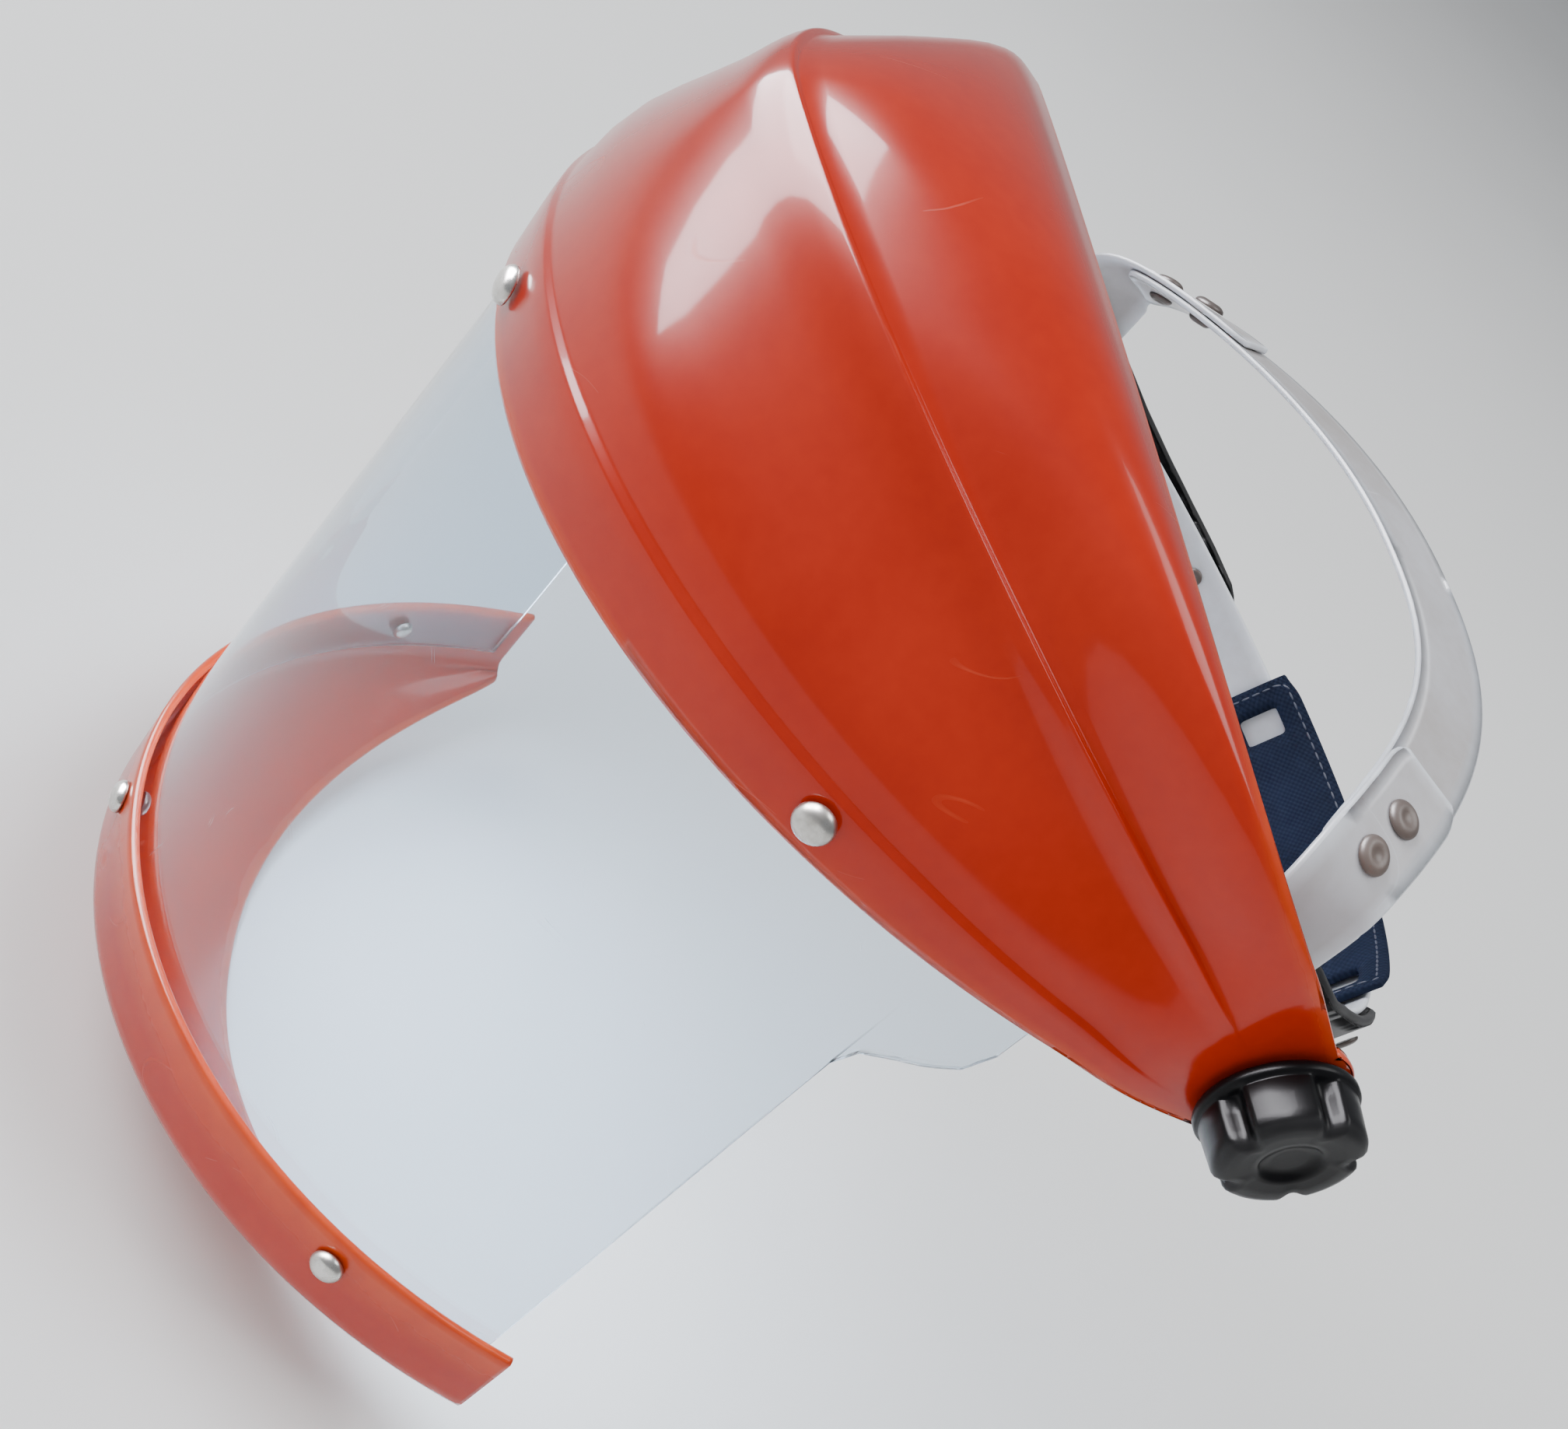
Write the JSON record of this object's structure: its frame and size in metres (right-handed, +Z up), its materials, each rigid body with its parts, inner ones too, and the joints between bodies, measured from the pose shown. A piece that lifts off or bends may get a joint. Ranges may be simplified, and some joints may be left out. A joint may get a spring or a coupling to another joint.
{
  "type": "face shield",
  "caption": "Industrial face shield: orange crown over a clear wrap-around visor with an orange chin guard, tilting on knobs at the sides of a padded strap headgear.",
  "frame": {"origin": "midpoint of the two pivot knobs' common axis, which is about the centre of the wearer's head", "axes": "+X to the wearer's left along the pivot axis, -Y forward (the visor faces -Y), +Z up"},
  "size_m": [0.2824, 0.2759, 0.2959],
  "materials": {
    "crown": "moulded orange plastic, satin gloss",
    "visor": "clear polycarbonate, glossy",
    "chin_guard": "moulded orange plastic, satin gloss",
    "rivet": "domed rivet heads, bright",
    "knob": "black moulded plastic, fine grain",
    "bolt": "zinc plated",
    "spacer": "black nylon",
    "arm": "black nylon",
    "brow_band": "black polyethylene",
    "brow_pad": "soft foam",
    "nape_band": "translucent white polyethylene",
    "nape_pad": "navy padded fabric",
    "strap": "translucent bluish white polyethylene",
    "stud": "dark grey brown press stud"
  },
  "bodies": {
    "headgear": {"side_arm_left": "arm", "side_arm_right": "arm", "brow_band": "brow_band", "brow_pad": "brow_pad", "nape_band": "nape_band", "nape_pad": "nape_pad", "pivot_bolt_left": "bolt", "pivot_bolt_right": "bolt", "spacer_left": "spacer", "spacer_right": "spacer", "washer_left": "bolt", "washer_right": "bolt", "arm_stud_front_left": "stud", "arm_stud_front_right": "stud", "arm_stud_rear_left": "stud", "arm_stud_rear_right": "stud"},
    "top_strap": {"side_strap_left": "strap", "side_strap_right": "strap", "upper_strap": "strap", "strap_stud_lower_left": "stud", "strap_stud_lower_right": "stud", "strap_stud_upper_left": "stud", "strap_stud_upper_right": "stud"},
    "shield": {"crown": "crown", "visor": "visor", "chin_guard": "chin_guard", "crown_rivet_centre": "rivet", "crown_rivet_left": "rivet", "crown_rivet_right": "rivet", "chin_rivet_centre": "rivet", "chin_rivet_left": "rivet", "chin_rivet_right": "rivet"},
    "knob_left": {"knob_left": "knob"},
    "knob_right": {"knob_right": "knob"}
  },
  "joints": [
    {"name": "shield_tilt", "type": "hinge", "parent": "headgear", "child": "shield", "pos_m": [0, 0, 0], "axis": [-1, 0, 0], "range_deg": [-5, 95]},
    {"name": "strap_swing", "type": "hinge", "parent": "headgear", "child": "top_strap", "pos_m": [0, 0, 0], "axis": [1, 0, 0], "range_deg": [-40, 15]},
    {"name": "knob_left_turn", "type": "hinge", "parent": "headgear", "child": "knob_left", "pos_m": [0.135, 0, 0], "axis": [1, 0, 0], "continuous": true},
    {"name": "knob_right_turn", "type": "hinge", "parent": "headgear", "child": "knob_right", "pos_m": [-0.135, 0, 0], "axis": [-1, 0, 0], "continuous": true}
  ]
}
